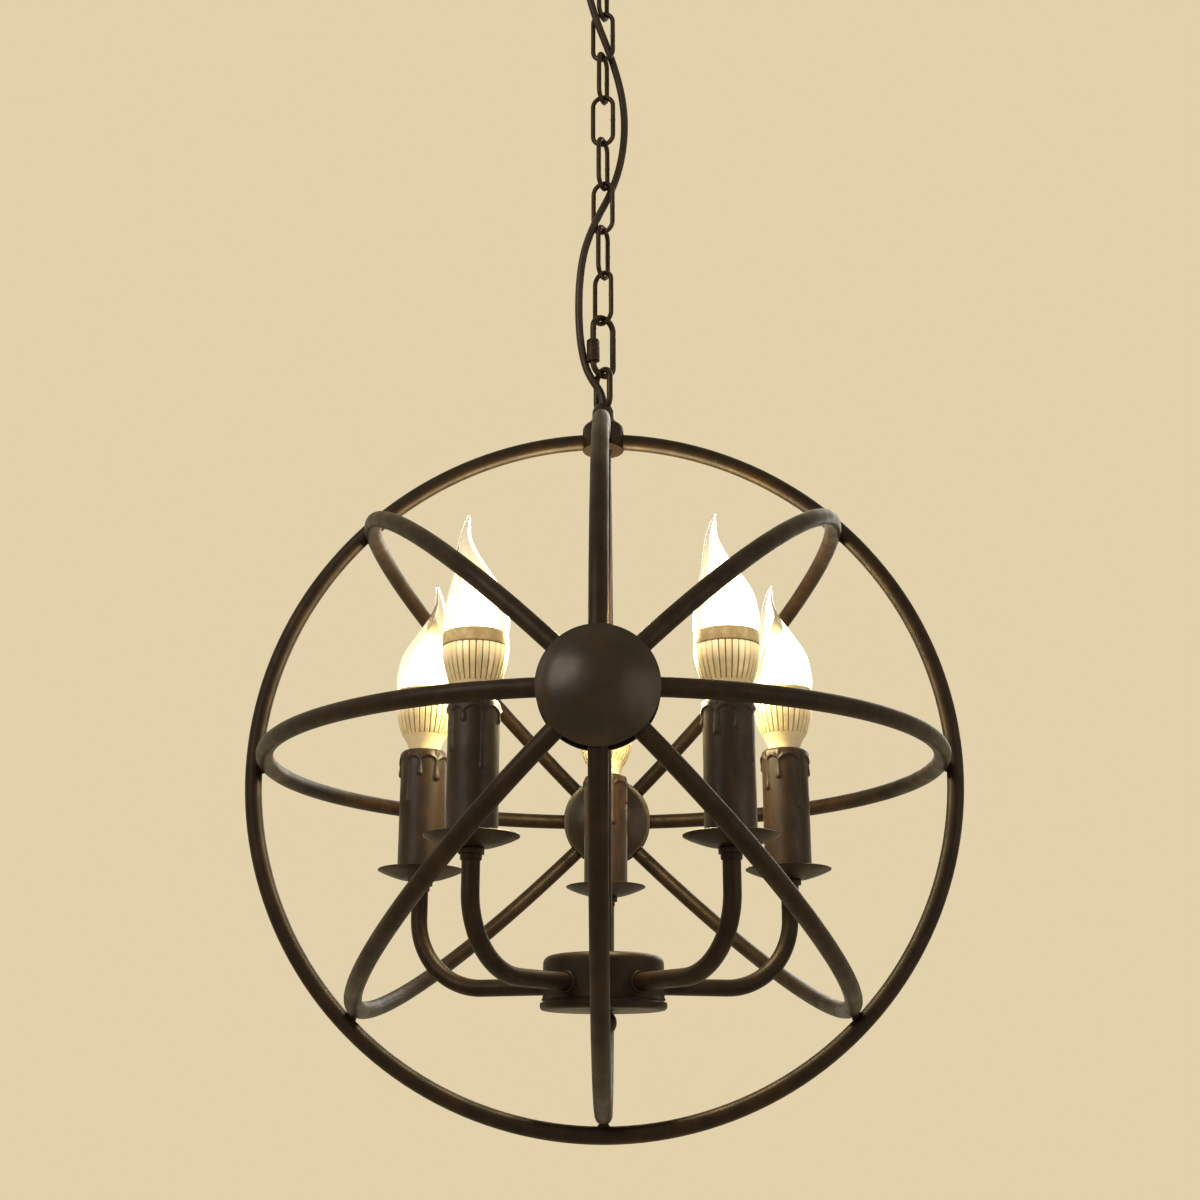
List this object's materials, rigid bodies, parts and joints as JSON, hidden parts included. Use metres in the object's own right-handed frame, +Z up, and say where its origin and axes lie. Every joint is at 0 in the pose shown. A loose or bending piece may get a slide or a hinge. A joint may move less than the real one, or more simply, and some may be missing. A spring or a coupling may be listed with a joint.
{
  "type": "orb chandelier",
  "caption": "Orb chandelier of crossed round-tube hoops round a cluster of candle lamps with drip pans, hung on a wire chain with a woven supply cable from a ceiling canopy.",
  "frame": {"origin": "centre of the crossbar's top face, on the ceiling", "axes": "+Z up into the ceiling, the chandelier hangs down along -Z; +X to the right and -Y towards the viewer, where one of the two domed poles of the orb lies"},
  "size_m": [0.43, 0.4284, 0.8651],
  "materials": {
    "bronze_paint": "satin, oil-rubbed bronze with faint copper edges",
    "plain_steel": "plain",
    "dark_steel": "satin",
    "cable": "smooth brown sheath",
    "holder_plastic": "moulded",
    "candle_sleeve": "satin, wax-drip sleeve",
    "bulb_housing": "ribbed heat sink, satin",
    "bulb_glass": "clear, lit from inside"
  },
  "bodies": {
    "canopy": {"ceiling_crossbar": "plain_steel", "canopy_nipple": "plain_steel", "crossbar_nut": "plain_steel", "canopy": "bronze_paint", "canopy_nut": "bronze_paint", "canopy_loop": "bronze_paint"},
    "top_link": {"chain_link_01": "bronze_paint"},
    "fixture": {"chain_links": "bronze_paint", "quick_link": "dark_steel", "supply_cable": "cable", "supply_cable_top": "cable", "hub_loop": "bronze_paint", "hub_cup": "bronze_paint", "hub_core": "plain_steel", "hub_washer": "bronze_paint", "stem_tube": "bronze_paint", "outer_hoop": "bronze_paint", "hoop_upright": "bronze_paint", "hoop_level": "bronze_paint", "hoop_slant_right": "bronze_paint", "hoop_slant_left": "bronze_paint", "hoop_welds": "bronze_paint", "pole_domes": "bronze_paint", "pole_caps": "bronze_paint", "pole_cores": "bronze_paint", "pole_fasteners": "bronze_paint", "body_cup": "bronze_paint", "body_cover": "bronze_paint", "arm_block": "plain_steel", "finial": "bronze_paint", "arm_nuts": "bronze_paint", "lampholders": "holder_plastic", "arm_1": "bronze_paint", "arm_2": "bronze_paint", "arm_3": "bronze_paint", "arm_4": "bronze_paint", "arm_5": "bronze_paint", "drip_pan_1": "bronze_paint", "drip_pan_2": "bronze_paint", "drip_pan_3": "bronze_paint", "drip_pan_4": "bronze_paint", "drip_pan_5": "bronze_paint", "sleeve_1": "candle_sleeve", "sleeve_2": "candle_sleeve", "sleeve_3": "candle_sleeve", "sleeve_4": "candle_sleeve", "sleeve_5": "candle_sleeve"},
    "quick_nut": {"quick_link_nut": "dark_steel"},
    "bulb_1": {"bulb_base_1": "bulb_housing", "bulb_glass_1": "bulb_glass"},
    "bulb_2": {"bulb_base_2": "bulb_housing", "bulb_glass_2": "bulb_glass"},
    "bulb_3": {"bulb_base_3": "bulb_housing", "bulb_glass_3": "bulb_glass"},
    "bulb_4": {"bulb_base_4": "bulb_housing", "bulb_glass_4": "bulb_glass"},
    "bulb_5": {"bulb_base_5": "bulb_housing", "bulb_glass_5": "bulb_glass"}
  },
  "joints": [
    {"name": "swing_side", "type": "hinge", "parent": "canopy", "child": "top_link", "pos_m": [0, 0, -0.058], "axis": [0, 1, 0], "range_deg": [-20, 20]},
    {"name": "swing_front", "type": "hinge", "parent": "top_link", "child": "fixture", "pos_m": [0, 0, -0.09065], "axis": [1, 0, 0], "range_deg": [-20, 20], "deforming": ["supply_cable_top"]},
    {"name": "quick_nut_slide", "type": "slide", "parent": "fixture", "child": "quick_nut", "axis": [0, 0, 1], "range_m": [0, 0.01]},
    {"name": "bulb_1_pull", "type": "slide", "parent": "fixture", "child": "bulb_1", "axis": [0, 0, 1], "range_m": [0, 0.024]},
    {"name": "bulb_2_pull", "type": "slide", "parent": "fixture", "child": "bulb_2", "axis": [0, 0, 1], "range_m": [0, 0.024]},
    {"name": "bulb_3_pull", "type": "slide", "parent": "fixture", "child": "bulb_3", "axis": [0, 0, 1], "range_m": [0, 0.024]},
    {"name": "bulb_4_pull", "type": "slide", "parent": "fixture", "child": "bulb_4", "axis": [0, 0, 1], "range_m": [0, 0.024]},
    {"name": "bulb_5_pull", "type": "slide", "parent": "fixture", "child": "bulb_5", "axis": [0, 0, 1], "range_m": [0, 0.024]}
  ]
}
